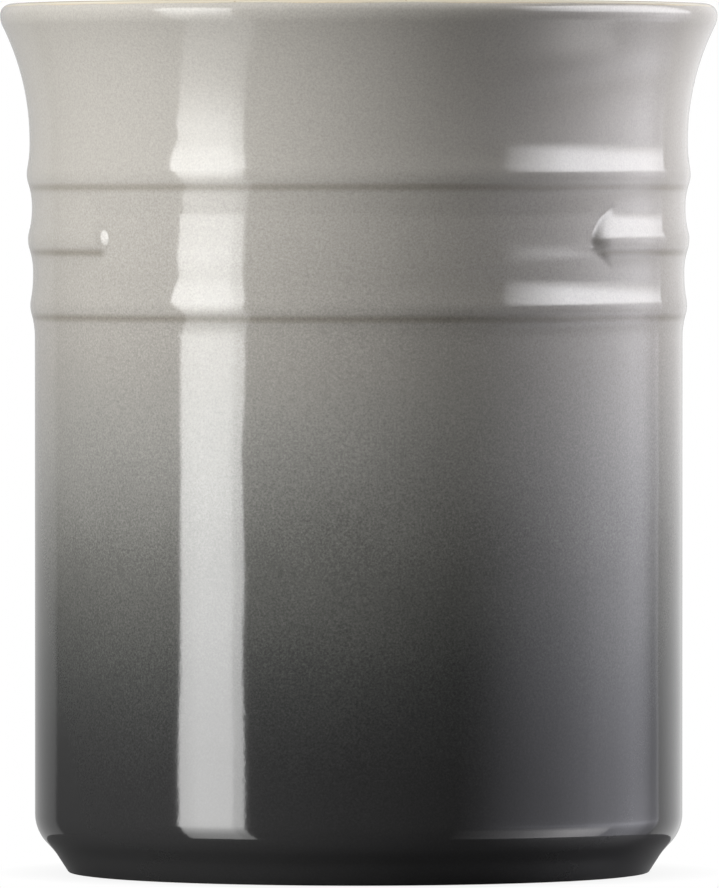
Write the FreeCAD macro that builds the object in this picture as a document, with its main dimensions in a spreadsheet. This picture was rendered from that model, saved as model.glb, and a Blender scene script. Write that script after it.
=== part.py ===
# Utensil crock: a straight stoneware jar with a flared, rounded rim, three soft ridges round its
# shoulder and a bevelled foot. Glaze coats it outside, inside and in the recess under its floor.
# Millimetres, +Z up, the table at z = 0, the plain front panel facing -Y.

import FreeCAD
import Part
import math
import os
from collections import namedtuple

import Sketcher

document = FreeCAD.newDocument("utensil_crock")

# Driving sizes: name, value, what it measures. Sizes of the outside are taken over the glaze.

SIZES = [
    ("overall_height", 150.0, "table to the top of the rim"),
    ("wall_radius", 55.95, "plain wall below the ridges"),
    ("wall_thickness", 5.8, "plain wall, glaze included"),
    ("floor_thickness", 6.0, "recess ceiling to the glazed floor inside"),
    ("floor_corner_radius", 9.0, "sweep from the floor to the wall inside"),
    ("band_step", 0.32, "valley above the bottom ridge, proud of the wall"),
    ("shoulder_step", 0.2, "valley above the middle ridge, proud of the one below it"),
    ("neck_step", 0.4, "neck above the top ridge, proud of the valley below it"),
    ("neck_height", 0.45, "plain neck between the top ridge and the flare"),
    ("flare_rise", 21.65, "height of the flare, neck to the widest level"),
    ("flare_reach", 5.11, "rim at its widest, out from the neck"),
    ("lip_radius", 1.95, "rounding from the widest level to the crest"),
    ("lip_under_radius", 4.2, "rounding below the widest level"),
    ("lip_inner_radius", 3.0, "rounding from the crest to the inside"),
    ("ridge_upper_run", 5.25, "height of a ridge's upper slope, crest to valley"),
    ("ridge_lower_run", 5.6, "height of a ridge's lower slope, valley to crest"),
    ("ridge_gap", 0.5, "plain stretch in the valley between two ridges"),
    ("ridge_crest_radius", 5.8, "rounding of each crest"),
    ("top_ridge_rise", 0.49, "top ridge, proud of the neck"),
    ("middle_ridge_rise", 0.67, "middle ridge, proud of the valley above it"),
    ("bottom_ridge_rise", 0.475, "bottom ridge, proud of the valley above it"),
    ("panel_run", 7.2, "top ridge's lower slope where it runs down to the front panel"),
    ("panel_angle", 102.4, "front sector that the middle ridge leaves plain"),
    ("ridge_end_radius", 6.5, "bend by which the middle ridge dips into the wall"),
    ("ridge_end_turn", 50.0, "angle of that bend, down to well below the surface"),
    ("heel_radius", 7.2, "rounding from the wall to the bevel"),
    ("heel_angle", 43.0, "bevel, from upright"),
    ("heel_slope", 1.4, "straight length of the bevel"),
    ("cove_radius", 10.0, "hollow between the bevel and the foot"),
    ("cove_turn", 10.0, "angle by which the foot stands steeper than the bevel"),
    ("foot_height", 2.9, "table to the hollow above the foot"),
    ("foot_edge_radius", 0.3, "sponged edges of the bare foot ring"),
    ("foot_ring_width", 6.0, "flat ring that stands on the table, edges included"),
    ("recess_depth", 4.0, "table to the ceiling of the recess"),
    ("recess_corner_radius", 2.0, "corner between the recess ceiling and the foot ring"),
    ("glaze_stop", 0.1, "bare clay between the foot edge and the glaze"),
    ("lip_glaze_angle", 41.0, "joint of the inner and outer glaze, outward of the crest"),
    ("undercoat_thickness", 0.2, "pale glaze left under the full overspray"),
    ("overspray_thickness", 0.3, "full overspray, low on the wall"),
    ("overspray_edge", 0.14, "overspray at its upper limit"),
    ("overspray_drop", 0.4, "plain wall between the bottom ridge and the overspray"),
    ("overspray_full_rise", 20.0, "wall above the heel that has the full overspray"),
]

sheet = document.addObject("Spreadsheet::Sheet", "Sizes")
for row, (name, value, meaning) in enumerate(SIZES, start=1):
    sheet.set(f"A{row}", name)
    sheet.set(f"B{row}", str(value))
    sheet.set(f"C{row}", meaning)
    sheet.setAlias(f"B{row}", name)
document.recompute()


class Size:
    """A length or an angle together with its formula, which ties what is drawn to the sheet."""

    def __init__(self, value, formula):
        self.value = value
        self.formula = formula

    def __add__(self, other):
        return Size(self.value + other.value, f"({self.formula} + {other.formula})")

    def __sub__(self, other):
        return Size(self.value - other.value, f"({self.formula} - {other.formula})")

    def __mul__(self, other):
        return Size(self.value * other.value, f"({self.formula} * {other.formula})")

    def __truediv__(self, other):
        return Size(self.value / other.value, f"({self.formula} / {other.formula})")


def size(name):
    return Size(sheet.get(name), f"Sizes.{name}")


def number(value):
    return Size(value, str(value))


def sine(angle):
    return Size(math.sin(math.radians(angle.value)), f"sin({angle.formula} * 1 deg)")


def cosine(angle):
    return Size(math.cos(math.radians(angle.value)), f"cos({angle.formula} * 1 deg)")


# An outline is a closed list of steps. Each step runs from the end of the step before it to its
# own end (r, z), straight or round a centre.

Step = namedtuple("Step", "r z centre_r centre_z radius")
ZERO = number(0.0)
TWO = number(2.0)
FULL_TURN = number(360.0)
HALF_TURN = number(180.0)
QUARTER_TURN = number(90.0)


def line_to(r, z):
    return Step(r, z, None, None, None)


def arc_to(r, z, centre_r, centre_z, radius):
    return Step(r, z, centre_r, centre_z, radius)


def backwards(steps):
    """The same path from its last end to its first, which the caller has already reached."""
    back = []
    for earlier, later in zip(reversed(steps[:-1]), reversed(steps[1:])):
        back.append(Step(earlier.r, earlier.z, later.centre_r, later.centre_z, later.radius))
    return back


def between(start, end, share):
    return start + (end - start) * share


# Foot and heel, as one chain of tangent lines and arcs drawn upwards from the table.

HEEL = size("heel_angle")
FOOT = HEEL - size("cove_turn")
COVE_Z = size("foot_height") - size("cove_radius") * sine(FOOT)
COVE_TOP_Z = COVE_Z + size("cove_radius") * sine(HEEL)
HEEL_LOW_Z = COVE_TOP_Z + size("heel_slope") * cosine(HEEL)
HEEL_Z = HEEL_LOW_Z + size("heel_radius") * sine(HEEL)
HEEL_R = size("wall_radius") - size("heel_radius")
HEEL_LOW_R = HEEL_R + size("heel_radius") * cosine(HEEL)
COVE_TOP_R = HEEL_LOW_R - size("heel_slope") * sine(HEEL)
COVE_R = COVE_TOP_R + size("cove_radius") * cosine(HEEL)


def foot_steps(inset):
    """Foot cone to plain wall, at a depth below the finished surface."""
    cove = size("cove_radius") + inset
    heel = size("heel_radius") - inset
    return [
        line_to(COVE_R - cove * cosine(FOOT), COVE_Z + cove * sine(FOOT)),
        arc_to(COVE_R - cove * cosine(HEEL), COVE_Z + cove * sine(HEEL), COVE_R, COVE_Z, cove),
        line_to(HEEL_R + heel * cosine(HEEL), HEEL_Z - heel * sine(HEEL)),
        arc_to(HEEL_R + heel, HEEL_Z, HEEL_R, HEEL_Z, heel),
    ]


def foot_cone_radius(inset, z):
    """Radius of the foot cone at a height, at a depth below the finished surface."""
    start = foot_steps(inset)[0]
    return start.r - (start.z - z) * sine(FOOT) / cosine(FOOT)


# The glaze ends above the foot edge in a quarter-round bead about a point on the clay. It is as
# thick everywhere as its two coats together.

GLAZE = size("undercoat_thickness") + size("overspray_thickness")
EDGE = size("foot_edge_radius")
BEAD_Z = EDGE * (number(1.0) - sine(FOOT)) + size("glaze_stop") + GLAZE * cosine(FOOT)
BEAD_R = foot_cone_radius(GLAZE, BEAD_Z)


def bead_steps(radius):
    """From the clay below the bead round to the face of the foot cone."""
    return [
        line_to(BEAD_R - radius * sine(FOOT), BEAD_Z - radius * cosine(FOOT)),
        arc_to(BEAD_R + radius * cosine(FOOT), BEAD_Z - radius * sine(FOOT), BEAD_R, BEAD_Z, radius),
    ]


# Levels and radii of the collar: three ridges, neck, flare and rounded rim.

BAND_R = size("wall_radius") + size("band_step")
SHOULDER_R = BAND_R + size("shoulder_step")
NECK_R = SHOULDER_R + size("neck_step")
RIM_R = NECK_R + size("flare_reach")
CREST_R = RIM_R - size("lip_radius")
UNDER_R = RIM_R - size("lip_under_radius")
LIP_Z = size("overall_height") - size("lip_radius")
FLARE_Z = LIP_Z - size("flare_rise")
UPPER_RUN = size("ridge_upper_run")
LOWER_RUN = size("ridge_lower_run")
PANEL_RUN = size("panel_run")
PITCH = UPPER_RUN + LOWER_RUN + size("ridge_gap")
TOP_RIDGE_Z = FLARE_Z - size("neck_height") - UPPER_RUN
MIDDLE_RIDGE_Z = TOP_RIDGE_Z - PITCH
BOTTOM_RIDGE_Z = MIDDLE_RIDGE_Z - PITCH


def ridge_slope(valley_r, crest_r, crest_z, inset, run, climbs):
    """One slope of a ridge as an ogee: a long hollow and a tight crest, upright at both ends."""
    rise = crest_r - valley_r
    both_radii = (rise * rise + run * run) / (rise * TWO)
    crest_radius = size("ridge_crest_radius")
    valley_radius = both_radii - crest_radius
    valley_z = crest_z - run if climbs else crest_z + run
    share = (crest_radius - inset) / both_radii
    crest_centre = crest_r - crest_radius
    valley_centre = valley_r + valley_radius
    middle_r = between(crest_centre, valley_centre, share)
    middle_z = between(crest_z, valley_z, share)
    if climbs:
        return [
            arc_to(middle_r, middle_z, valley_centre, valley_z, valley_radius + inset),
            arc_to(crest_r - inset, crest_z, crest_centre, crest_z, crest_radius - inset),
        ]
    return [
        arc_to(middle_r, middle_z, crest_centre, crest_z, crest_radius - inset),
        arc_to(valley_r - inset, valley_z, valley_centre, valley_z, valley_radius + inset),
    ]


def middle_ridge_steps(inset):
    """Both slopes of the middle ridge, from the valley below it to the valley above it."""
    crest = SHOULDER_R + size("middle_ridge_rise")
    return [
        line_to(BAND_R - inset, MIDDLE_RIDGE_Z - LOWER_RUN),
        *ridge_slope(BAND_R, crest, MIDDLE_RIDGE_Z, inset, LOWER_RUN, True),
        *ridge_slope(SHOULDER_R, crest, MIDDLE_RIDGE_Z, inset, UPPER_RUN, False),
    ]


def shoulder_steps(inset, ridged):
    """Bottom ridge to the crest of the top one, with the middle ridge or with the plain panel."""
    crest = NECK_R + size("top_ridge_rise")
    if ridged:
        return [
            *middle_ridge_steps(inset),
            line_to(SHOULDER_R - inset, TOP_RIDGE_Z - LOWER_RUN),
            *ridge_slope(SHOULDER_R, crest, TOP_RIDGE_Z, inset, LOWER_RUN, True),
        ]
    return [
        line_to(BAND_R - inset, TOP_RIDGE_Z - PANEL_RUN),
        *ridge_slope(BAND_R, crest, TOP_RIDGE_Z, inset, PANEL_RUN, True),
    ]


def collar_steps(inset, ridged):
    """Plain wall to the widest level of the rim."""
    wall = size("wall_radius")
    bottom_crest = BAND_R + size("bottom_ridge_rise")
    top_crest = NECK_R + size("top_ridge_rise")
    under = size("lip_under_radius")
    reach = UNDER_R - NECK_R
    rise = size("flare_rise")
    flare = (reach * reach + rise * rise - under * under) / (TWO * (reach + under))
    share = (under - inset) / (flare + under)
    joint_r = between(UNDER_R, NECK_R + flare, share)
    joint_z = between(LIP_Z, FLARE_Z, share)
    return [
        line_to(wall - inset, BOTTOM_RIDGE_Z - LOWER_RUN),
        *ridge_slope(wall, bottom_crest, BOTTOM_RIDGE_Z, inset, LOWER_RUN, True),
        *ridge_slope(BAND_R, bottom_crest, BOTTOM_RIDGE_Z, inset, UPPER_RUN, False),
        *shoulder_steps(inset, ridged),
        *ridge_slope(NECK_R, top_crest, TOP_RIDGE_Z, inset, UPPER_RUN, False),
        line_to(NECK_R - inset, FLARE_Z),
        arc_to(joint_r, joint_z, NECK_R + flare, FLARE_Z, flare + inset),
        arc_to(RIM_R - inset, LIP_Z, UNDER_R, LIP_Z, under - inset),
    ]


def lip_step(inset, angle):
    """Widest level of the rim round to an angle outward of its crest."""
    radius = size("lip_radius") - inset
    return arc_to(CREST_R + radius * sine(angle), LIP_Z + radius * cosine(angle), CREST_R, LIP_Z, radius)


# Inside: rim crest, inner flare, straight wall, rounded floor corner, flat floor.

INSIDE_R = size("wall_radius") - size("wall_thickness")
FLOOR_Z = size("recess_depth") + size("floor_thickness")


def inside_steps(inset):
    """Rim crest down to the middle of the floor, at a depth below the finished surface."""
    lip = size("lip_inner_radius")
    lip_z = size("overall_height") - lip
    reach = CREST_R - INSIDE_R
    rise = lip_z - FLARE_Z
    flare = (reach * reach + rise * rise - lip * lip) / (TWO * (reach - lip))
    share = (flare - inset) / (flare - lip)
    flare_r = INSIDE_R + flare
    corner = size("floor_corner_radius")
    corner_r = INSIDE_R - corner
    corner_z = FLOOR_Z + corner
    return [
        line_to(CREST_R, size("overall_height") - inset),
        arc_to(between(flare_r, CREST_R, share), between(FLARE_Z, lip_z, share), CREST_R, lip_z, lip - inset),
        arc_to(INSIDE_R + inset, FLARE_Z, flare_r, FLARE_Z, flare - inset),
        line_to(INSIDE_R + inset, corner_z),
        arc_to(corner_r, FLOOR_Z - inset, corner_r, corner_z, corner + inset),
        line_to(ZERO, FLOOR_Z - inset),
    ]


# Underside: rounded edges of the bare foot ring and the corner of the recess.

EDGE_R = foot_cone_radius(GLAZE + EDGE, EDGE)
RING_R = EDGE_R - size("foot_ring_width")
RECESS_Z = size("recess_depth")
RECESS_CORNER = size("recess_corner_radius")
RECESS_CORNER_R = RING_R - RECESS_CORNER
RECESS_CORNER_Z = RECESS_Z - RECESS_CORNER


def draw_outline(sketch, steps):
    """Draw a closed outline and tie each of its corners and radii to the sheet."""
    last = len(steps) - 1
    edges = []
    for index, step in enumerate(steps):
        start = FreeCAD.Vector(steps[index - 1].r.value, steps[index - 1].z.value, 0)
        end = FreeCAD.Vector(step.r.value, step.z.value, 0)
        if step.radius is None:
            edges.append((sketch.addGeometry(Part.LineSegment(start, end)), 1, 2))
            continue
        centre = FreeCAD.Vector(step.centre_r.value, step.centre_z.value, 0)
        circle = Part.Circle(centre, FreeCAD.Vector(0, 0, 1), step.radius.value)
        start_angle = math.atan2(start.y - centre.y, start.x - centre.x)
        end_angle = math.atan2(end.y - centre.y, end.x - centre.x)
        if math.sin(end_angle - start_angle) > 0:
            arc = Part.ArcOfCircle(circle, start_angle, end_angle)
            edges.append((sketch.addGeometry(arc), 1, 2))
        else:
            arc = Part.ArcOfCircle(circle, end_angle, start_angle)
            edges.append((sketch.addGeometry(arc), 2, 1))
    for index, step in enumerate(steps):
        edge, _, end_point = edges[index]
        next_edge, next_start, _ = edges[0 if index == last else index + 1]
        sketch.addConstraint(Sketcher.Constraint("Coincident", edge, end_point, next_edge, next_start))
        hold(sketch, "DistanceX", -2, edge, end_point, step.r)
        hold(sketch, "DistanceY", -1, edge, end_point, step.z)
        if step.radius is not None:
            rule = sketch.addConstraint(Sketcher.Constraint("Radius", edge, step.radius.value))
            sketch.setExpression(f"Constraints[{rule}]", step.radius.formula)


def hold(sketch, direction, axis, edge, point, distance):
    """Set a corner's distance from an axis of the sketch, or lay it on that axis."""
    if distance.value == 0:
        sketch.addConstraint(Sketcher.Constraint("PointOnObject", edge, point, axis))
        return
    rule = sketch.addConstraint(Sketcher.Constraint(direction, -1, 1, edge, point, distance.value))
    sketch.setExpression(f"Constraints[{rule}]", distance.formula)


def body_plane(body, role):
    return next(feature for feature in body.Origin.OriginFeatures if feature.Role == role)


def add_sketch(body, name, role, turn, steps):
    """A closed outline on an upright plane of the body, turned clockwise about the crock's axis."""
    sketch = body.newObject("Sketcher::SketchObject", name)
    sketch.AttachmentSupport = [(body_plane(body, role), "")]
    sketch.MapMode = "FlatFace"
    rotation = FreeCAD.Rotation(FreeCAD.Vector(0, -1, 0), turn.value)
    sketch.AttachmentOffset = FreeCAD.Placement(FreeCAD.Vector(), rotation)
    sketch.setExpression("AttachmentOffset.Rotation.Angle", f"{turn.formula} * 1 deg")
    draw_outline(sketch, steps)
    return sketch


def add_turned(body, name, sketch, axis, angle, both_ways):
    """A sketch turned round one of its axes."""
    turned = body.newObject("PartDesign::Revolution", name)
    turned.Profile = sketch
    turned.ReferenceAxis = (sketch, [axis])
    turned.Midplane = both_ways
    turned.setExpression("Angle", angle.formula)
    document.recompute()
    return turned


def turned_body(name, steps):
    """A body that is the same all the way round the crock."""
    body = document.addObject("PartDesign::Body", name)
    body.Label = name
    sketch = add_sketch(body, f"{name}_outline", "XZ_Plane", ZERO, steps)
    add_turned(body, f"{name}_turned", sketch, "V_Axis", FULL_TURN, False)
    return body


def panelled_body(name, back_steps, front_steps):
    """A body turned in two sectors, which meet at the sides of the front panel."""
    body = document.addObject("PartDesign::Body", name)
    body.Label = name
    panel = size("panel_angle")
    back = add_sketch(body, f"{name}_back_outline", "YZ_Plane", ZERO, back_steps)
    add_turned(body, f"{name}_back", back, "V_Axis", FULL_TURN - panel, True)
    front = add_sketch(body, f"{name}_front_outline", "YZ_Plane", HALF_TURN, front_steps)
    add_turned(body, f"{name}_front", front, "V_Axis", panel, True)
    return body


def ridged_body(name, ridged_steps, plain_steps, inset):
    """A body whose middle ridge leaves the front panel plain and dips into the wall at each side."""
    body = panelled_body(name, ridged_steps, plain_steps)
    panel = size("panel_angle")
    core_r = BAND_R - size("ridge_end_radius") / TWO
    end_steps = [
        *middle_ridge_steps(inset),
        line_to(core_r, MIDDLE_RIDGE_Z + UPPER_RUN),
        line_to(core_r, MIDDLE_RIDGE_Z - LOWER_RUN),
    ]
    end_turn = QUARTER_TURN - panel / TWO
    end_outline = add_sketch(body, f"{name}_ridge_end_outline", "XZ_Plane", end_turn, end_steps)
    bend_r = BAND_R - size("ridge_end_radius")
    bend_top = MIDDLE_RIDGE_Z + UPPER_RUN
    bend_low = MIDDLE_RIDGE_Z - LOWER_RUN
    top = FreeCAD.Vector(bend_r.value, bend_top.value, 0)
    low = FreeCAD.Vector(bend_r.value, bend_low.value, 0)
    bend = end_outline.addGeometry(Part.LineSegment(top, low), True)
    hold(end_outline, "DistanceX", -2, bend, 1, bend_r)
    hold(end_outline, "DistanceX", -2, bend, 2, bend_r)
    hold(end_outline, "DistanceY", -1, bend, 1, bend_top)
    hold(end_outline, "DistanceY", -1, bend, 2, bend_low)
    end = add_turned(body, f"{name}_ridge_end", end_outline, "Axis0", size("ridge_end_turn"), False)

    other_end = body.newObject("PartDesign::Mirrored", f"{name}_other_ridge_end")
    other_end.Originals = [end]
    other_end.MirrorPlane = (body_plane(body, "YZ_Plane"), [""])
    body.Tip = other_end
    document.recompute()
    return body


# Stoneware body: the one fired piece of clay, bare only on its foot ring.


def clay_steps(ridged):
    return [
        line_to(EDGE_R, ZERO),
        arc_to(EDGE_R + EDGE * cosine(FOOT), EDGE - EDGE * sine(FOOT), EDGE_R, EDGE, EDGE),
        *foot_steps(GLAZE),
        *collar_steps(GLAZE, ridged),
        lip_step(GLAZE, ZERO),
        *inside_steps(GLAZE)[1:],
        line_to(ZERO, RECESS_Z),
        line_to(RECESS_CORNER_R, RECESS_Z),
        arc_to(RING_R, RECESS_CORNER_Z, RECESS_CORNER_R, RECESS_CORNER_Z, RECESS_CORNER),
        line_to(RING_R, EDGE),
        arc_to(RING_R + EDGE, ZERO, RING_R + EDGE, EDGE, EDGE),
    ]


stoneware_body = ridged_body("stoneware_body", clay_steps(True), clay_steps(False), GLAZE)

# Pale outer glaze: sprayed over the whole outside, thinner where the dark coat lies in it. Its form
# is closed through the middle of the wall and the clay is then taken out of it.

FULL_SPRAY = size("overspray_thickness")
SPRAY_TOP = BOTTOM_RIDGE_Z - LOWER_RUN - size("overspray_drop")
SPRAY_LOW = HEEL_Z + size("overspray_full_rise")
WALL_R = size("wall_radius")
MIDDLE_R = WALL_R - size("wall_thickness") / TWO
JOINT_ANGLE = size("lip_glaze_angle")

overspray_bed = [
    *bead_steps(GLAZE - FULL_SPRAY),
    *foot_steps(FULL_SPRAY),
    line_to(WALL_R - FULL_SPRAY, SPRAY_LOW),
    line_to(WALL_R - size("overspray_edge"), SPRAY_TOP),
    line_to(WALL_R, SPRAY_TOP),
]


def pale_steps(ridged):
    return [
        *overspray_bed,
        *collar_steps(ZERO, ridged),
        lip_step(ZERO, JOINT_ANGLE),
        line_to(CREST_R, LIP_Z),
        line_to(MIDDLE_R, FLARE_Z),
        line_to(MIDDLE_R, HEEL_Z),
        line_to(EDGE_R - size("foot_ring_width") / TWO, overspray_bed[0].z),
    ]


pale_form = ridged_body("pale_form", pale_steps(True), pale_steps(False), ZERO)
pale_outer_glaze = document.addObject("Part::Cut", "pale_outer_glaze")
pale_outer_glaze.Base = pale_form
pale_outer_glaze.Tool = stoneware_body

# Dark overspray: a second coat that thickens downwards and fades out below the bottom ridge. It is
# turned in the sectors of the coat below it, so that the two have their seams in one place.

overspray_steps = [
    *bead_steps(GLAZE),
    *foot_steps(ZERO),
    line_to(WALL_R, SPRAY_TOP),
    *backwards(overspray_bed),
]
dark_overspray_glaze = panelled_body("dark_overspray_glaze", overspray_steps, overspray_steps)

# Cream inner glaze: poured inside and run out over the crest of the rim.

cream_inner_glaze = turned_body(
    "cream_inner_glaze",
    [
        lip_step(ZERO, ZERO),
        *inside_steps(ZERO)[1:],
        line_to(ZERO, FLOOR_Z - GLAZE),
        *backwards(inside_steps(GLAZE)),
        lip_step(GLAZE, JOINT_ANGLE),
        line_to(lip_step(ZERO, JOINT_ANGLE).r, lip_step(ZERO, JOINT_ANGLE).z),
    ],
)

# Base glaze: a brushed coat on the ceiling of the recess, stopped inside the bare ring.

base_recess_glaze = turned_body(
    "base_recess_glaze",
    [
        line_to(ZERO, RECESS_Z - GLAZE),
        line_to(RECESS_CORNER_R, RECESS_Z - GLAZE),
        arc_to(RING_R - GLAZE, RECESS_CORNER_Z, RECESS_CORNER_R, RECESS_CORNER_Z, RECESS_CORNER - GLAZE),
        arc_to(RING_R, RECESS_CORNER_Z - GLAZE, RING_R, RECESS_CORNER_Z, GLAZE),
        line_to(RING_R, RECESS_CORNER_Z),
        arc_to(RECESS_CORNER_R, RECESS_Z, RECESS_CORNER_R, RECESS_CORNER_Z, RECESS_CORNER),
        line_to(ZERO, RECESS_Z),
    ],
)

document.recompute()

# Every object has to be sound, and every piece one solid, before anything is written.

for item in document.Objects:
    if "Invalid" in item.State or "Error" in item.State:
        raise RuntimeError(f"{item.Label} did not build: {item.State}")

pieces = [
    stoneware_body,
    pale_outer_glaze,
    dark_overspray_glaze,
    cream_inner_glaze,
    base_recess_glaze,
]
os.makedirs("parts", exist_ok=True)
for piece in pieces:
    shape = piece.Shape
    if shape.isNull() or not shape.isValid() or len(shape.Solids) != 1:
        raise RuntimeError(f"{piece.Label} is not one sound solid")
    shape.exportStep(f"parts/{piece.Label}.step")
    print(f"{piece.Label}: {shape.Volume:.0f} cubic mm, {len(shape.Faces)} faces")
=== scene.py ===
import cmath
import math

import bpy
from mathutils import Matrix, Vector


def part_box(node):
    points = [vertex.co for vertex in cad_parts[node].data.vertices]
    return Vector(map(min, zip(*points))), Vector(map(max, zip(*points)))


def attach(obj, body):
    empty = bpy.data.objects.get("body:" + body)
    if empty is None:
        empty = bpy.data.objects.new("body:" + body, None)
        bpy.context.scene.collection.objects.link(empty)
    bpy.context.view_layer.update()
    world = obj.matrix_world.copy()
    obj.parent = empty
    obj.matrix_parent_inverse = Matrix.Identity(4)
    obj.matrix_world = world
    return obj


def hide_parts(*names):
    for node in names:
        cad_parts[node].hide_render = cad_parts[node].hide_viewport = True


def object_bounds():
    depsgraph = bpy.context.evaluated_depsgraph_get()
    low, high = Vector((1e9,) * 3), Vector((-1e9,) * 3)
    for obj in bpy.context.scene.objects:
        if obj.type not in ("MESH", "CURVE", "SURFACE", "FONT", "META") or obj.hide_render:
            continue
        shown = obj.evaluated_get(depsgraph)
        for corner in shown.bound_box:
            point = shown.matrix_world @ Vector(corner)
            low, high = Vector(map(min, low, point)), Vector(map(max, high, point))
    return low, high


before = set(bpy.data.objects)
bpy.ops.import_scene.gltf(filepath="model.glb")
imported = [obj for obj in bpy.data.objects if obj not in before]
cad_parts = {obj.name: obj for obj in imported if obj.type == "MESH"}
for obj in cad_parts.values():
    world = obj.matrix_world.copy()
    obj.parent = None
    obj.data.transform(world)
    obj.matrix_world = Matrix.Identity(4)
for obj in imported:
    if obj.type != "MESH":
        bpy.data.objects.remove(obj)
cad_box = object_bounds()

# Clay body: one fired piece of buff stoneware that carries every coat of glaze. Only its foot ring is
# left bare, wiped clean before firing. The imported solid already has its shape, so it stays.

clay_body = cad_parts["stoneware_body"]


def new_finish(name):
    """A node material with a plain shader, and the tree and shader to build on."""
    finish = bpy.data.materials.new(name)
    finish.use_nodes = True
    return finish, finish.node_tree, finish.node_tree.nodes["Principled BSDF"]


def add(tree, kind, inputs, **settings):
    """Add a node, and set or link its inputs by name or number."""
    node = tree.nodes.new(kind)
    for name, value in settings.items():
        setattr(node, name, value)
    for name, value in inputs.items():
        if isinstance(value, bpy.types.NodeSocket):
            tree.links.new(value, node.inputs[name])
        else:
            node.inputs[name].default_value = value
    return node


def ramp(tree, factor, stops):
    """A colour ramp with the given places and colours."""
    node = add(tree, "ShaderNodeValToRGB", {"Fac": factor})
    elements = node.color_ramp.elements
    while len(elements) < len(stops):
        elements.new(1.0)
    for element, (place, colour) in zip(elements, stops):
        element.position = place
        element.color = (*colour, 1.0)
    return node.outputs["Color"]


def noise(tree, place, scale, detail, roughness=0.5):
    """A cloudy pattern, finer at a larger scale."""
    inputs = {"Vector": place, "Scale": scale, "Detail": detail, "Roughness": roughness}
    return add(tree, "ShaderNodeTexNoise", inputs).outputs[0]


def mixed_tone(tree, factor, first, second, way="MIX"):
    """Mix two colours by a factor, in the given way."""
    inputs = {0: factor, 6: first, 7: second}
    return add(tree, "ShaderNodeMix", inputs, data_type="RGBA", blend_type=way).outputs[2]


def relief(tree, distance, pattern, strength=1.0, under=None):
    """The normal of a face that a pattern raises by a distance, on top of another relief if given."""
    inputs = {"Strength": strength, "Distance": distance, "Height": pattern}
    if under is not None:
        inputs["Normal"] = under
    return add(tree, "ShaderNodeBump", inputs).outputs["Normal"]


def dress(piece, finish):
    """Give a piece one finish, in place of any it has."""
    piece.data.materials.clear()
    piece.data.materials.append(finish)


fired_clay, tree, shader = new_finish("fired_clay")
place = add(tree, "ShaderNodeTexCoord", {}).outputs["Object"]
mottle = noise(tree, place, 220.0, 4.0)
clay_tone = ramp(tree, mottle, [(0.30, (0.42, 0.31, 0.21)), (0.70, (0.56, 0.44, 0.31))])
grog = add(tree, "ShaderNodeTexVoronoi", {"Vector": place, "Scale": 900.0}).outputs["Distance"]
grog_mask = ramp(tree, grog, [(0.16, (0.35, 0.35, 0.35)), (0.30, (1.0, 1.0, 1.0))])
specked = mixed_tone(tree, 1.0, clay_tone, grog_mask, "MULTIPLY")
tree.links.new(specked, shader.inputs["Base Color"])
rough_face = relief(tree, 0.00015, noise(tree, place, 1800.0, 5.0), strength=0.5)
tree.links.new(rough_face, shader.inputs["Normal"])
shader.inputs["Roughness"].default_value = 0.88
dress(clay_body, fired_clay)

# Outer coat: pale grey glaze over the whole outside, with charcoal glaze sprayed over it from below.
# The two melt into one glassy skin half a millimetre thick, so they are one piece here. It is drawn
# as the potter's template, turned about the axis, and its middle ridge is sunk in the front panel.

box_clearance = 0.000001
rim_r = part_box("pale_outer_glaze")[1].x - box_clearance
wall_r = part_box("dark_overspray_glaze")[1].x
rim_top = cad_box[1].z - box_clearance
coat = 0.0005

# Lip and flare
lip_radius = 0.00195
lip_under_radius = 0.0042
lip_seam_angle = 49.0
flare_height = 0.02165
flare_overhang = 0.00511
lip_z = rim_top - lip_radius
flare_z = lip_z - flare_height
neck_r = rim_r - flare_overhang
under_reach = rim_r - lip_under_radius - neck_r
under_rise = lip_z - flare_z
flare_chord = under_reach**2 + under_rise**2
flare_radius = (flare_chord - lip_under_radius**2) / (2 * (under_reach + lip_under_radius))
flare_turn = math.degrees(math.asin(under_rise / (flare_radius + lip_under_radius)))

# Ridges
upper_run = 0.00525
lower_run = 0.0056
crest_radius = 0.0056
ridge_pitch = 0.01135
neck_height = 0.00045
shoulder_step = 0.0004
band_step = 0.0002
top_proud = 0.00049
middle_proud = 0.00067
bottom_proud = 0.000475
shoulder_r = neck_r - shoulder_step
band_r = shoulder_r - band_step
top_crest_r = neck_r + top_proud
middle_crest_r = shoulder_r + middle_proud
bottom_crest_r = band_r + bottom_proud
top_ridge_z = flare_z - neck_height - upper_run
middle_ridge_z = top_ridge_z - ridge_pitch
bottom_ridge_z = middle_ridge_z - ridge_pitch

# Heel, the hollow below it, and the cone of the foot with the coat's rounded edge
heel_radius = 0.0072
heel_angle = 43.0
bevel_length = 0.0014
cove_radius = 0.010
foot_angle = 33.0
foot_z = 0.0029
support_gap = 0.001
heel_lean = math.radians(heel_angle)
foot_lean = math.radians(foot_angle)
heel_r = wall_r - heel_radius
bevel_r = bevel_length * math.sin(heel_lean)
bevel_z = bevel_length * math.cos(heel_lean)
cove_z = foot_z - cove_radius * math.sin(foot_lean)
heel_low_z = cove_z + cove_radius * math.sin(heel_lean)
heel_z = heel_low_z + bevel_z + heel_radius * math.sin(heel_lean)
cove_r = heel_r + (heel_radius + cove_radius) * math.cos(heel_lean) - bevel_r
cone_r = cove_r - cove_radius * math.cos(foot_lean)
edge_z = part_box("dark_overspray_glaze")[0].z
bead_z = edge_z + coat * math.cos(foot_lean)
bead_r = cone_r - (foot_z - bead_z) * math.tan(foot_lean) - coat / math.cos(foot_lean)
edge_r = bead_r - coat * math.sin(foot_lean)


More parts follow.
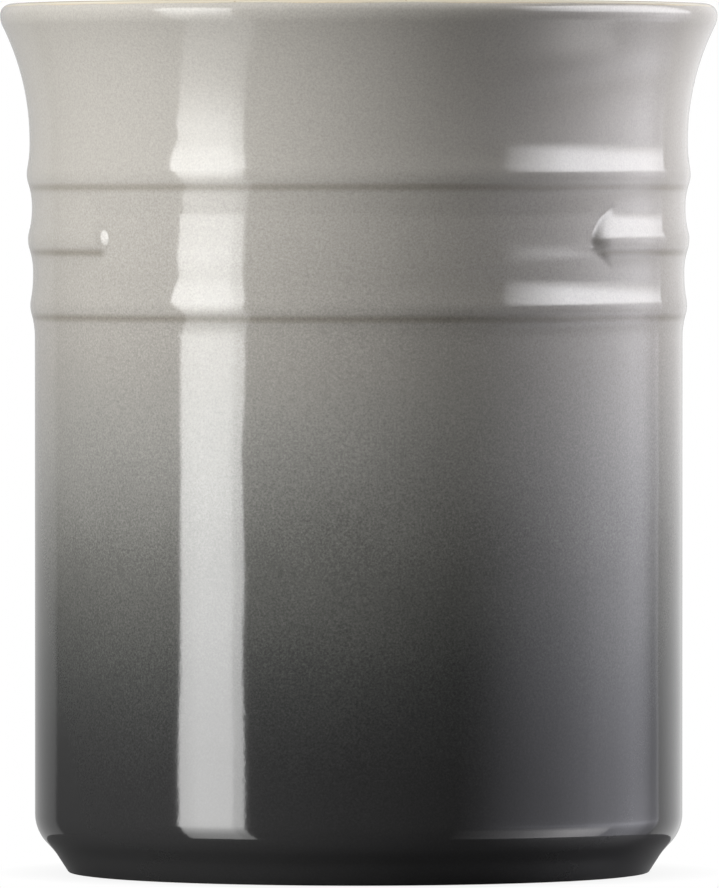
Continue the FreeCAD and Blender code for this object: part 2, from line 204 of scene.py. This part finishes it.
class Outline:
    """An outline in the XZ plane, drawn by extruding and spinning its last point."""

    def __init__(self, name, r, z):
        bpy.ops.object.select_all(action="DESELECT")
        bpy.ops.mesh.primitive_plane_add(size=0.001)
        self.piece = bpy.context.object
        self.piece.name = name
        self.piece.data.name = name
        bpy.ops.object.mode_set(mode="EDIT")
        bpy.ops.mesh.select_all(action="SELECT")
        bpy.ops.mesh.merge(type="CENTER")
        bpy.ops.transform.translate(value=(r, 0, z))
        self.r = r
        self.z = z

    def line_to(self, r, z):
        """Carry the end straight to a radius and a height."""
        move = (r - self.r, 0, z - self.z)
        bpy.ops.mesh.extrude_region_move(TRANSFORM_OT_translate={"value": move})
        self.r = r
        self.z = z

    def arc(self, centre_r, centre_z, turn, steps):
        """Carry the end round a centre by degrees, anticlockwise with the axis on the left."""
        angle = math.radians(turn)
        bpy.ops.mesh.spin(steps=steps, angle=angle, center=(centre_r, 0, centre_z), axis=(0, 1, 0))
        end = complex(self.r - centre_r, self.z - centre_z) * cmath.rect(1, angle)
        self.r = centre_r + end.real
        self.z = centre_z + end.imag

    def ridge_side(self, to_r, run):
        """One side of a ridge: a long hollow and a tight crest, upright at both ends."""
        reach = to_r - self.r
        bends = (reach * reach + run * run) / (2 * reach)
        first = bends - crest_radius if reach > 0 else -crest_radius
        turn = math.degrees(2 * math.atan(reach / run))
        start_r = self.r
        start_z = self.z
        self.arc(start_r + first, start_z, -turn, 9)
        self.arc(to_r - (bends - first), start_z + run, turn, 9)

    def turn_round(self, sectors, inside):
        """Turn the outline about the crock's axis, sector by sector, and close the seam."""
        bpy.ops.mesh.select_all(action="SELECT")
        for angle, steps in sectors:
            bpy.ops.mesh.spin(steps=steps, angle=math.radians(angle), center=(0, 0, 0), axis=(0, 0, 1))
        bpy.ops.mesh.select_all(action="SELECT")
        bpy.ops.mesh.remove_doubles(threshold=0.000002)
        bpy.ops.mesh.normals_make_consistent(inside=inside)
        bpy.ops.object.mode_set(mode="OBJECT")
        return self.piece


def thicken(piece):
    """Give a turned skin the thickness of the glaze, behind its face, and smooth it."""
    solid = piece.modifiers.new("glaze", "SOLIDIFY")
    solid.thickness = coat
    solid.offset = -1.0
    solid.use_even_offset = True
    bpy.ops.object.modifier_apply(modifier=solid.name)
    bpy.ops.object.shade_smooth_by_angle(angle=math.radians(50.0))


outer = Outline("outer_coat", edge_r, edge_z)
outer.arc(bead_r, bead_z, 90.0, 6)
outer.line_to(cone_r, foot_z)
outer.arc(cove_r, cove_z, foot_angle - heel_angle, 4)
outer.line_to(outer.r + bevel_r, outer.z + bevel_z)
outer.arc(heel_r, heel_z, heel_angle, 14)
outer.line_to(wall_r, heel_z + support_gap)
outer.line_to(wall_r, bottom_ridge_z - lower_run - support_gap)
outer.line_to(wall_r, bottom_ridge_z - lower_run)
outer.ridge_side(bottom_crest_r, lower_run)
outer.ridge_side(band_r, upper_run)
outer.line_to(band_r, middle_ridge_z - lower_run)
outer.ridge_side(middle_crest_r, lower_run)
outer.ridge_side(shoulder_r, upper_run)
outer.line_to(shoulder_r, top_ridge_z - lower_run)
outer.ridge_side(top_crest_r, lower_run)
outer.ridge_side(neck_r, upper_run)
outer.line_to(neck_r, flare_z)
outer.arc(neck_r + flare_radius, flare_z, -flare_turn, 18)
outer.arc(rim_r - lip_under_radius, lip_z, flare_turn, 8)
outer.arc(rim_r - lip_radius, lip_z, lip_seam_angle, 10)

# The turns are finest at the two ends of the middle ridge
fine_start = 35.5
fine_span = 8.5
front_span = 180.0 - 2 * (fine_start + fine_span)
outer_coat = outer.turn_round(
    [(fine_start, 18), (fine_span, 34), (front_span, 46), (fine_span, 34), (180.0 + fine_start, 108)],
    inside=False,
)

# Front panel, with its slope at each depth below the top ridge, and the noses of the middle ridge
panel_half = 51.25
panel_slopes = [
    (0.0, 0.0),
    (0.0021, 0.325),
    (0.0039, 0.15),
    (0.0065, 0.15),
    (0.0077, 0.0),
    (0.0100, 0.0),
    (0.0137, -0.0426),
    (0.01745, 0.0),
]
nose_radius = 0.010
nose_bend = 0.008
nose_steepest = 0.38
nose_easing = 0.15
nose_above = 0.003
nose_below = 0.0014
nose_blend = 0.00010
nose_blend_run = 0.003

# Darker lines under each crest: painted shade where the slope under the crest turns down, with some darker
# glaze pooled there
dark_line_half = 0.0010
top_dark_line_drop = 0.0024
middle_dark_line_drop = 0.0022
bottom_dark_line_drop = 0.0020
top_dark_line_share = 0.85
dark_line_end = 0.0033
dark_line_fade = 0.0016


def panel_radius(z):
    """Radius of the plain front panel, which runs down from the top ridge in one long slope."""
    below = top_ridge_z - z
    r = top_crest_r
    for (start, first), (end, last) in zip(panel_slopes, panel_slopes[1:]):
        run = min(max(below - start, 0.0), end - start)
        r -= run * (first + (last - first) * run / (end - start) / 2)
    return r


# Painted shade: each vertex gets a level for the darker line under each crest, partly also pooled glaze;
# the middle line fades out a little way into the front panel.
pool_and_shade = outer_coat.data.attributes.new("pool_and_shade", "FLOAT", "POINT")
for vertex, pool_and_shade_level in zip(outer_coat.data.vertices, pool_and_shade.data):
    x, y, z = vertex.co
    r = math.hypot(x, y)
    into_panel = math.radians(panel_half - abs(math.degrees(math.atan2(x, -y)))) * band_r
    middle_dark_line_share = min(1.0, max(0.0, (dark_line_end - into_panel) / dark_line_fade))
    for dark_line_z, share in (
        (top_ridge_z - top_dark_line_drop, top_dark_line_share),
        (middle_ridge_z - middle_dark_line_drop, middle_dark_line_share),
        (bottom_ridge_z - bottom_dark_line_drop, 1.0),
    ):
        if abs(z - dark_line_z) < dark_line_half:
            pool_and_shade_level.value += share * math.cos((z - dark_line_z) / dark_line_half * math.pi / 2) ** 2
    nose = into_panel + (z - middle_ridge_z) ** 2 / 2 / nose_radius
    if nose > 0 and bottom_ridge_z + upper_run < z < top_ridge_z:
        plain_r = panel_radius(z)
        from_crest = (z - middle_ridge_z) / (nose_above if z > middle_ridge_z else nose_below)
        nose_slope = nose_steepest - nose_easing * min(1.0, from_crest**2)
        bent = min(nose, nose_bend * nose_slope)
        proud = r - plain_r - bent**2 / 2 / nose_bend - (nose - bent) * nose_slope
        blend = nose_blend * min(1.0, nose / nose_blend_run, max(0.0, r - plain_r) / nose_blend)
        ridge_left = (proud + math.sqrt(proud * proud + blend * blend)) / 2
        vertex.co.x *= (plain_r + ridge_left) / r
        vertex.co.y *= (plain_r + ridge_left) / r
thicken(outer_coat)


def grey_ramp(tree, factor, stops):
    """A ramp with the given places and plain levels."""
    return ramp(tree, factor, [(place, (level,) * 3) for place, level in stops])


def maths(tree, operation, *values):
    """Work out one number from up to three."""
    return add(tree, "ShaderNodeMath", dict(enumerate(values)), operation=operation).outputs[0]


# Colour of the glaze, and the share that its gloss mirrors, by height in millimetres
full_height = 150
spray = [
    (12, (0.0270, 0.0270, 0.0275)),
    (21, (0.0300, 0.0300, 0.0302)),
    (30, (0.0395, 0.0400, 0.0395)),
    (38, (0.0560, 0.0570, 0.0550)),
    (47, (0.0860, 0.0865, 0.0815)),
    (56, (0.1200, 0.1190, 0.1120)),
    (64, (0.1680, 0.1660, 0.1560)),
    (73, (0.2200, 0.2160, 0.2030)),
    (81, (0.2650, 0.2580, 0.2410)),
    (90, (0.3020, 0.2890, 0.2680)),
    (100, (0.3500, 0.3340, 0.3090)),
    (118, (0.4060, 0.3870, 0.3580)),
    (150, (0.4215, 0.4020, 0.3710)),
]
shine = [(46, 1.0), (112, 0.63), (122.5, 0.63), (126, 0.56), (133, 0.56), (137, 0.45), (150, 0.42)]
lip_brown = (0.62, 0.50, 0.34, 1.0)

ombre_glaze, tree, shader = new_finish("ombre_glaze")
place = add(tree, "ShaderNodeTexCoord", {}).outputs["Object"]
height = add(tree, "ShaderNodeSeparateXYZ", {"Vector": place}).outputs["Z"]
drift = noise(tree, place, 38.0, 2.0)
droplets = noise(tree, place, 2800.0, 3.0, roughness=0.75)
drifted = maths(tree, "MULTIPLY_ADD", drift, 0.012, height)
sprayed = maths(tree, "MULTIPLY_ADD", droplets, 0.032, drifted)
spray_level = add(
    tree, "ShaderNodeMapRange", {"Value": sprayed, "From Min": 0.0205, "From Max": 0.1705}
).outputs[0]
glaze_tone = ramp(tree, spray_level, [(level / full_height, colour) for level, colour in spray])
# Painted shade under the crests, with some pooled glaze: the colour is multiplied down to 0.70 along those
# lines.
pool_and_shade_level = add(tree, "ShaderNodeAttribute", {}, attribute_name="pool_and_shade").outputs["Fac"]
pool_shade = ramp(tree, pool_and_shade_level, [(0.0, (1.0, 1.0, 1.0)), (1.0, (0.70, 0.68, 0.64))])
pool_and_shade_tone = mixed_tone(tree, 1.0, glaze_tone, pool_shade, "MULTIPLY")
lip_level = maths(tree, "MULTIPLY_ADD", noise(tree, place, 60.0, 2.0), 0.0006, height)
lip_line = add(
    tree, "ShaderNodeMapRange", {"Value": lip_level, "From Min": 0.1496, "From Max": 0.1499}
).outputs[0]
lipped_tone = mixed_tone(tree, lip_line, pool_and_shade_tone, lip_brown)
grain = add(
    tree,
    "ShaderNodeMapRange",
    {"Value": droplets, "From Min": 0.3, "From Max": 0.7, "To Min": 0.86, "To Max": 1.14},
    clamp=False,
).outputs[0]
grained_tone = mixed_tone(tree, 1.0, lipped_tone, grain, "MULTIPLY")
tree.links.new(grained_tone, shader.inputs["Base Color"])
gloss = add(tree, "ShaderNodeMapRange", {"Value": droplets, "To Min": 0.05, "To Max": 0.10}).outputs[0]
tree.links.new(gloss, shader.inputs["Roughness"])
risen = add(tree, "ShaderNodeMapRange", {"Value": height, "From Max": 0.150}).outputs[0]
mirror = grey_ramp(tree, risen, [(level / full_height, share) for level, share in shine])
tree.links.new(mirror, shader.inputs["Specular Tint"])
waves = relief(tree, 0.00022, noise(tree, place, 36.0, 1.0))
skin = relief(tree, 0.000005, noise(tree, place, 1000.0, 2.0), under=waves)
tree.links.new(skin, shader.inputs["Normal"])
dress(outer_coat, ombre_glaze)
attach(outer_coat, "root")
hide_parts("pale_outer_glaze", "dark_overspray_glaze")

# Cream liner: a clear, creamy glaze poured inside, swirled round and run out over the crest of the rim,
# where it meets the outer coat in a thin warm line. It is turned from its own outline.

floor_z = 0.010
floor_middle = 0.012
floor_corner = 0.009
wall = 0.0058
inner_lip = 0.003
inner_r = wall_r - wall
crest_r = rim_r - lip_radius
inner_reach = crest_r - inner_r
inner_rise = rim_top - inner_lip - flare_z
inner_flare = (inner_reach**2 + inner_rise**2 - inner_lip**2) / (2 * (inner_reach - inner_lip))
inner_turn = math.degrees(math.asin(inner_rise / (inner_flare - inner_lip)))

liner = Outline("cream_liner", 0.0, floor_z)
liner.line_to(floor_middle, floor_z)
liner.line_to(inner_r - floor_corner, floor_z)
liner.arc(inner_r - floor_corner, floor_z + floor_corner, 90.0, 14)
liner.line_to(inner_r, flare_z)
liner.arc(inner_r + inner_flare, flare_z, -inner_turn, 16)
liner.arc(crest_r, rim_top - inner_lip, inner_turn - 90.0, 12)
liner.arc(crest_r, lip_z, lip_seam_angle - 90.0, 10)
cream_liner = liner.turn_round([(360, 180)], inside=False)
thicken(cream_liner)

cream_glaze, tree, shader = new_finish("cream_glaze")
place = add(tree, "ShaderNodeTexCoord", {}).outputs["Object"]
clouds = noise(tree, place, 40.0, 3.0)
cream_tone = ramp(tree, clouds, [(0.30, (0.57, 0.52, 0.42)), (0.70, (0.63, 0.585, 0.48))])
iron = add(tree, "ShaderNodeTexVoronoi", {"Vector": place, "Scale": 330.0}).outputs["Distance"]
iron_mask = ramp(tree, iron, [(0.05, (0.55, 0.42, 0.30)), (0.11, (1.0, 1.0, 1.0))])
specked = mixed_tone(tree, 1.0, cream_tone, iron_mask, "MULTIPLY")
tree.links.new(specked, shader.inputs["Base Color"])
shader.inputs["Roughness"].default_value = 0.09
skin = relief(tree, 0.000006, noise(tree, place, 500.0, 2.0))
tree.links.new(skin, shader.inputs["Normal"])
dress(cream_liner, cream_glaze)
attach(cream_liner, "root")
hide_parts("cream_inner_glaze")

# Base coat: charcoal glaze brushed on the ceiling of the recess under the floor. It stops below the
# recess's rounded corner, inside the bare foot ring, so that the crock doesn't stick to the kiln shelf.

recess_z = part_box("base_recess_glaze")[1].z
recess_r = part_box("base_recess_glaze")[1].x
recess_corner = 0.002

under = Outline("base_coat", 0.0, recess_z - coat)
under.line_to(floor_middle, recess_z - coat)
under.line_to(recess_r - recess_corner, recess_z - coat)
under.arc(recess_r - recess_corner, recess_z - recess_corner, -90.0, 10)
base_coat = under.turn_round([(360, 144)], inside=True)
thicken(base_coat)

base_glaze, tree, shader = new_finish("base_glaze")
place = add(tree, "ShaderNodeTexCoord", {}).outputs["Object"]
strokes = noise(tree, place, 90.0, 4.0)
base_tone = ramp(tree, strokes, [(0.30, (0.018, 0.018, 0.019)), (0.72, (0.040, 0.040, 0.040))])
tree.links.new(base_tone, shader.inputs["Base Color"])
shader.inputs["Roughness"].default_value = 0.14
tree.links.new(relief(tree, 0.00002, strokes), shader.inputs["Normal"])
dress(base_coat, base_glaze)
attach(base_coat, "root")
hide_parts("base_recess_glaze")

# Floor: the patch of table that the crock stands on, a hair below the foot ring. The camera sees it white
# and looks through it from below. Close to the foot the white fades by distance into a soft painted
# shadow, with a little real shadow in it. The gloss of the glaze sees it dark, and white at its far edge.

table_r = 0.066
table_z = -0.00005

bpy.ops.object.select_all(action="DESELECT")
bpy.ops.mesh.primitive_circle_add(
    vertices=96, radius=table_r, fill_type="NGON", location=(0, 0, table_z)
)
bpy.ops.object.transform_apply(location=True, rotation=False, scale=False)
floor = bpy.context.object
floor.name = "floor"

table_top, tree, shader = new_finish("table_top")
shader.inputs["Base Color"].default_value = (0.08, 0.08, 0.08, 1.0)
shader.inputs["Roughness"].default_value = 0.35
shader.inputs["Specular IOR Level"].default_value = 0.2
place = add(tree, "ShaderNodeTexCoord", {}).outputs["Object"]
away = add(tree, "ShaderNodeVectorMath", {0: place}, operation="LENGTH").outputs["Value"]
# Painted shadow: close to the foot the camera's white fades by distance from 1 down to 0.90.
whiteness = add(
    tree, "ShaderNodeMapRange", {"Value": away, "From Min": 0.05, "From Max": 0.064, "To Min": 0.90}
).outputs[0]
behind = add(tree, "ShaderNodeSeparateXYZ", {"Vector": place}).outputs["Y"]
far_white = add(
    tree, "ShaderNodeMapRange", {"Value": behind, "From Min": 0.045, "From Max": table_r}
).outputs[0]
light_path = add(tree, "ShaderNodeLightPath", {})
mirrored_white = maths(tree, "MULTIPLY", far_white, light_path.outputs["Is Glossy Ray"])
seen_white = maths(
    tree, "MULTIPLY_ADD", whiteness, light_path.outputs["Is Camera Ray"], mirrored_white
)
paper = add(tree, "ShaderNodeEmission", {"Strength": 1.0}).outputs["Emission"]
lit_side = add(tree, "ShaderNodeMixShader", {0: seen_white, 1: shader.outputs["BSDF"], 2: paper})
clear = add(tree, "ShaderNodeBsdfTransparent", {}).outputs["BSDF"]
from_below = add(tree, "ShaderNodeNewGeometry", {}).outputs["Backfacing"]
one_sided = add(tree, "ShaderNodeMixShader", {0: from_below, 1: lit_side.outputs[0], 2: clear})
tree.links.new(one_sided.outputs[0], tree.nodes["Material Output"].inputs["Surface"])
dress(floor, table_top)

# Studio light: a tall strip box at the left, with a tail below the table for the gloss, soft lamps at the
# far left, at the right and overhead, three cards at the right that only the gloss shows, and a dim room
# with a white backdrop behind. Angles are from the camera's side, positive to the right.

camera_turn = 2.0
even = [(0.0, 1.0), (1.0, 1.0)]
straight = [(0.0, 0.0), (1.0, 0.0)]


def softbox(
    name, start, end, distance, low, high, radiance, tint, across=even, upwards=even, left_edge=straight
):
    """A flat upright lamp between two directions and two heights, shaded across and upwards."""
    corners = []
    for turn in (start, end):
        angle = math.radians(turn + camera_turn)
        corners.append(Vector((math.sin(angle), -math.cos(angle), 0)) * distance)
    middle = (corners[0] + corners[1]) / 2
    aim = (-middle).to_track_quat("-Z", "Y")
    bpy.ops.object.light_add(type="AREA", location=middle + Vector((0, 0, (low + high) / 2)))
    lamp = bpy.context.object
    lamp.name = name
    lamp.rotation_euler = aim.to_euler()
    lamp.visible_camera = False
    lamp.data.shape = "RECTANGLE"
    lamp.data.size = (corners[1] - corners[0]).length
    lamp.data.size_y = high - low
    lamp.data.energy = radiance * math.pi * lamp.data.size * lamp.data.size_y
    lamp.data.color = tint
    lamp.data.use_nodes = True
    tree = lamp.data.node_tree
    spot = add(tree, "ShaderNodeNewGeometry", {}).outputs["Parametric"]
    sides = add(tree, "ShaderNodeSeparateXYZ", {"Vector": spot}).outputs
    glow_across = grey_ramp(tree, sides["X"], across)
    glow_upwards = grey_ramp(tree, sides["Y"], upwards)
    glow = maths(tree, "MULTIPLY", glow_across, glow_upwards)
    inward = maths(tree, "SUBTRACT", sides["X"], grey_ramp(tree, sides["Y"], left_edge))
    lit = add(
        tree,
        "ShaderNodeMapRange",
        {"Value": inward, "From Min": -0.01, "From Max": 0.015, "To Max": glow},
    )
    tree.links.new(lit.outputs[0], tree.nodes["Emission"].inputs["Strength"])
    return lamp


strip_start = -72.5
strip_end = -40.8
strip_distance = 6.0
strip_low = -0.7
warm_white = (1.0, 1.0, 0.99)
strip_across = [(0.30, 0.88), (0.36, 0.92), (0.47, 1.0), (0.862, 1.0), (0.872, 0.77)]
strip_upwards = [
    (0.0, 0.68),
    (0.0975, 0.79),
    (0.125, 0.82),
    (0.213, 0.83),
    (0.2875, 0.90),
    (0.375, 1.0),
    (1.0, 0.97),
]
strip_edge = [(0.0, 0.215), (0.0625, 0.19), (0.16, 0.231), (0.225, 0.20), (0.6175, 0.066), (1.0, 0.05)]
softbox(
    "left_strip",
    start=strip_start,
    end=strip_end,
    distance=strip_distance,
    low=strip_low,
    high=3.3,
    radiance=14.7,
    tint=warm_white,
    across=strip_across,
    upwards=strip_upwards,
    left_edge=strip_edge,
)
tail_upwards = [
    (0.0, 0.28),
    (0.26, 0.28),
    (0.50, 0.37),
    (0.60, 0.40),
    (0.72, 0.46),
    (0.87, 0.68),
    (0.94, 0.82),
    (1.0, 1.0),
]
tail_edge = [(0.0, 0.08), (0.136, 0.095), (0.485, 0.17), (0.786, 0.21), (0.939, 0.235), (1.0, 0.215)]
strip_tail = softbox(
    "strip_tail",
    start=strip_start,
    end=strip_end,
    distance=strip_distance,
    low=-6.6,
    high=strip_low,
    radiance=10.0,
    tint=warm_white,
    across=strip_across,
    upwards=tail_upwards,
    left_edge=tail_edge,
)
strip_tail.visible_diffuse = False
far_left = softbox(
    "far_left", start=-88.0, end=-62.0, distance=1.2, low=-0.30, high=0.56, radiance=3.2, tint=warm_white
)
far_left.visible_glossy = False
right_lamp = softbox(
    "right_lamp",
    start=92.0,
    end=122.0,
    distance=1.0,
    low=-0.10,
    high=0.58,
    radiance=15.0,
    tint=(0.968, 0.955, 1.0),
)
right_lamp.visible_glossy = False

card_end = 131.0
card_distance = 0.9
card_low = 0.14
card_across = [
    (0.0, 0.0),
    (0.05, 0.20),
    (0.20, 0.60),
    (0.35, 0.92),
    (0.45, 0.84),
    (0.67, 0.54),
    (0.93, 0.21),
    (1.0, 0.17),
]
card_upwards = [(0.0, 0.30), (0.10, 1.0)]
right_card = softbox(
    "right_card",
    start=50.0,
    end=card_end,
    distance=card_distance,
    low=card_low,
    high=0.75,
    radiance=15.6,
    tint=(0.96, 0.96, 1.0),
    across=card_across,
    upwards=card_upwards,
)
right_card.visible_diffuse = False
skirt_across = [
    (0.0, 0.0),
    (0.12, 0.08),
    (0.18, 0.17),
    (0.28, 0.36),
    (0.33, 0.47),
    (0.40, 0.58),
    (0.55, 0.92),
    (0.73, 0.95),
    (0.80, 0.76),
    (0.90, 0.34),
    (1.0, 0.26),
]
skirt_upwards = [
    (0.0, 0.05),
    (0.20, 0.10),
    (0.385, 0.26),
    (0.577, 0.36),
    (0.66, 0.36),
    (0.72, 0.40),
    (0.77, 0.54),
    (0.80, 0.70),
    (0.831, 0.55),
    (0.856, 0.40),
    (0.894, 0.52),
    (0.911, 0.56),
    (0.937, 0.63),
    (0.962, 0.67),
    (1.0, 0.67),
]
right_skirt = softbox(
    "right_skirt",
    start=34.0,
    end=card_end,
    distance=card_distance,
    low=-0.90,
    high=card_low,
    radiance=4.7,
    tint=(0.91, 0.91, 1.0),
    across=skirt_across,
    upwards=skirt_upwards,
)
right_skirt.visible_diffuse = False
low_across = [
    (0.0, 0.0),
    (0.27, 0.14),
    (0.40, 0.28),
    (0.52, 0.55),
    (0.62, 0.85),
    (0.72, 1.0),
    (0.91, 0.65),
    (1.0, 0.40),
]
low_upwards = [(0.0, 0.9), (0.52, 0.9), (0.68, 0.75), (0.80, 0.9), (0.89, 0.9), (0.95, 0.43), (1.0, 0.20)]
low_card = softbox(
    "low_card",
    start=32.0,
    end=98.0,
    distance=0.55,
    low=-0.51,
    high=-0.07,
    radiance=3.4,
    tint=(1.0, 0.98, 0.97),
    across=low_across,
    upwards=low_upwards,
)
low_card.visible_diffuse = False

overhead_z = 1.35
overhead_r = 0.33
overhead_radiance = 8.8
bpy.ops.object.light_add(type="AREA", location=(0, 0, overhead_z))
overhead = bpy.context.object
overhead.name = "overhead"
overhead.data.shape = "DISK"
overhead.data.size = 2 * overhead_r
overhead.data.energy = overhead_radiance * math.pi * math.pi * overhead_r**2
overhead.visible_camera = False
overhead.visible_glossy = False

white = (1.0, 1.0, 1.0, 1.0)
room_glow = (0.035, 0.035, 0.035, 1.0)
world = bpy.context.scene.world or bpy.data.worlds.new("studio")
bpy.context.scene.world = world
world.use_nodes = True
tree = world.node_tree
facing = add(tree, "ShaderNodeTexCoord", {}).outputs["Generated"]
sides = add(tree, "ShaderNodeSeparateXYZ", {"Vector": facing}).outputs
backdrop = grey_ramp(tree, sides["Y"], [(0.0, 0.07), (0.69, 0.10), (0.72, 0.58), (0.90, 0.84), (1.0, 1.0)])
left_shade = grey_ramp(tree, sides["X"], [(0.0, 0.54), (0.2, 1.0)])
room = mixed_tone(tree, 1.0, backdrop, left_shade, "MULTIPLY")
light_path = add(tree, "ShaderNodeLightPath", {})
lit_room = mixed_tone(tree, light_path.outputs["Is Glossy Ray"], room_glow, room)
seen_room = mixed_tone(tree, light_path.outputs["Is Camera Ray"], lit_room, white)
tree.links.new(seen_room, tree.nodes["Background"].inputs["Color"])

# Camera: a long lens a little above the middle of the crock and two degrees to its right, as in the
# photograph, which is 719 by 888.

camera_distance = 2.4
camera_z = 0.115
aim_z = 0.0740
picture_height = 888
pixels_per_metre = 5787.0
pixels_right = 0.8
sensor = 36.0
camera_data = bpy.data.cameras.new("camera")
camera = bpy.data.objects.new("camera", camera_data)
bpy.context.scene.collection.objects.link(camera)
angle = math.radians(camera_turn)
camera.location = (math.sin(angle) * camera_distance, -math.cos(angle) * camera_distance, camera_z)
right = Vector((math.cos(angle), math.sin(angle), 0))
aim = Vector((0, 0, aim_z)) + right * (pixels_right / pixels_per_metre)
camera.rotation_euler = (aim - camera.location).to_track_quat("-Z", "Y").to_euler()
camera_data.sensor_width = sensor
camera_data.lens = sensor * pixels_per_metre * camera_distance / picture_height
camera_data.clip_end = 50.0
bpy.context.scene.camera = camera
bpy.context.scene.view_settings.view_transform = "Standard"
